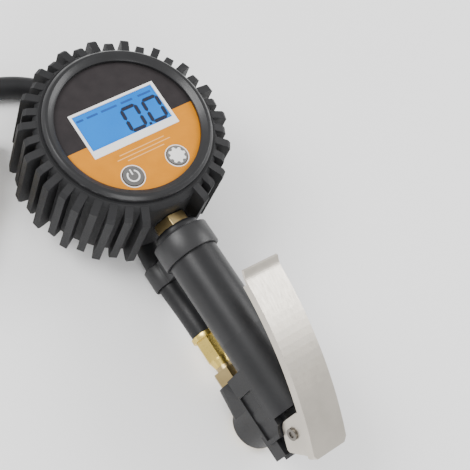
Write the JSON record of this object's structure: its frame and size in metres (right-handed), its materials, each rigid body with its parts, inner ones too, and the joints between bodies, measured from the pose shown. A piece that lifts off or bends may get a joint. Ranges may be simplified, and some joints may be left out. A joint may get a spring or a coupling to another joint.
{
  "type": "tyre pressure gauge",
  "caption": "Digital tyre inflator gauge in a ribbed rubber boot, with a trigger handle, air inlet, and a hose that ends in a clip-on air chuck.",
  "frame": {"origin": "bottom centre of the box round the tool without its hose and chuck, on the table that it lies on", "axes": "+Z is the dial's normal, +Y runs from the handle to the gauge, +X is the dial's right"},
  "size_m": [0.2122, 0.2443, 0.069],
  "materials": {
    "rubber": "ribbed matt rubber",
    "bezel": "satin black plastic",
    "case_plastic": "black ABS",
    "dial_print": "printed dial, charcoal above and orange below",
    "white_plastic": "satin white",
    "lcd_blue": "backlit blue display",
    "diffuser": "frosted light guide",
    "board": "green circuit board",
    "grey_button": "grey key with white symbol",
    "white_button": "white key",
    "steel": "plain steel",
    "pin_steel": "darker rivet steel",
    "battery_jacket": "plain dry cell jacket",
    "nickel_lever": "satin nickel plated sheet steel",
    "brass_dull": "machined brass, slightly dull",
    "brass_bright": "bright yellow brass",
    "black_cast": "satin black coated die casting",
    "grip_plastic": "smooth black sleeve",
    "hose_rubber": "smooth black rubber hose",
    "seal_rubber": "nitrile"
  },
  "bodies": {
    "frame": {"rubber_boot": "rubber", "bezel_ring": "bezel", "gauge_case": "case_plastic", "dial_plate": "dial_print", "lcd_frame": "white_plastic", "lcd_panel": "lcd_blue", "backlight": "diffuser", "circuit_board": "board", "button_switches": "steel", "pressure_sensor": "steel", "batteries": "battery_jacket", "battery_contacts": "steel", "battery_door": "case_plastic", "door_screws": "steel", "gauge_stem": "brass_dull", "stem_seal": "seal_rubber", "top_cap": "black_cast", "hose_clip": "case_plastic", "grip_tube": "grip_plastic", "air_pipe": "steel", "valve_body": "black_cast", "inlet_fitting": "brass_bright", "inlet_filter": "brass_dull", "valve_spring": "steel", "plunger_gland": "brass_dull", "gland_seal": "seal_rubber", "lever_pin": "pin_steel", "hose_nut": "brass_dull", "hose_ferrule": "brass_bright", "air_hose": "hose_rubber", "chuck_ferrule": "brass_bright", "chuck_body": "brass_dull", "chuck_seal": "seal_rubber", "chuck_depressor": "steel", "chuck_lever_pin": "pin_steel", "chuck_spring": "steel"},
    "lever": {"lever": "nickel_lever"},
    "plunger": {"valve_plunger": "steel", "plunger_seal": "seal_rubber"},
    "power_key": {"power_button": "grey_button"},
    "light_key": {"light_button": "white_button"},
    "chuck_thumb_lever": {"chuck_lever": "steel"}
  },
  "joints": [
    {"name": "lever_hinge", "type": "hinge", "parent": "frame", "child": "lever", "pos_m": [0.00035, -0.0855, 0.03546], "axis": [-0.9848, 0, 0.1736], "range_deg": [0, 10], "stiffness_Nm_per_rad": 0.35, "springref_deg": -20.05},
    {"name": "plunger_slide", "type": "slide", "parent": "frame", "child": "plunger", "axis": [-0.1736, 0, -0.9848], "range_m": [0, 0.0042], "deforming": ["valve_spring"]},
    {"name": "power_press", "type": "slide", "parent": "frame", "child": "power_key", "axis": [0, 0, -1], "range_m": [0, 0.0004], "stiffness_N_per_m": 900, "springref_m": -0.0004},
    {"name": "light_press", "type": "slide", "parent": "frame", "child": "light_key", "axis": [0, 0, -1], "range_m": [0, 0.0004], "stiffness_N_per_m": 900, "springref_m": -0.0004},
    {"name": "chuck_lever_hinge", "type": "hinge", "parent": "frame", "child": "chuck_thumb_lever", "pos_m": [-0.04743, 0.08754, 0.0176], "axis": [0.8192, -0.5736, 0], "range_deg": [0, 12], "stiffness_Nm_per_rad": 0.05, "springref_deg": -22.92}
  ],
  "couplings": [
    {"joint": "plunger_slide", "follows": "lever_hinge", "m_per_rad": 0.0235}
  ]
}
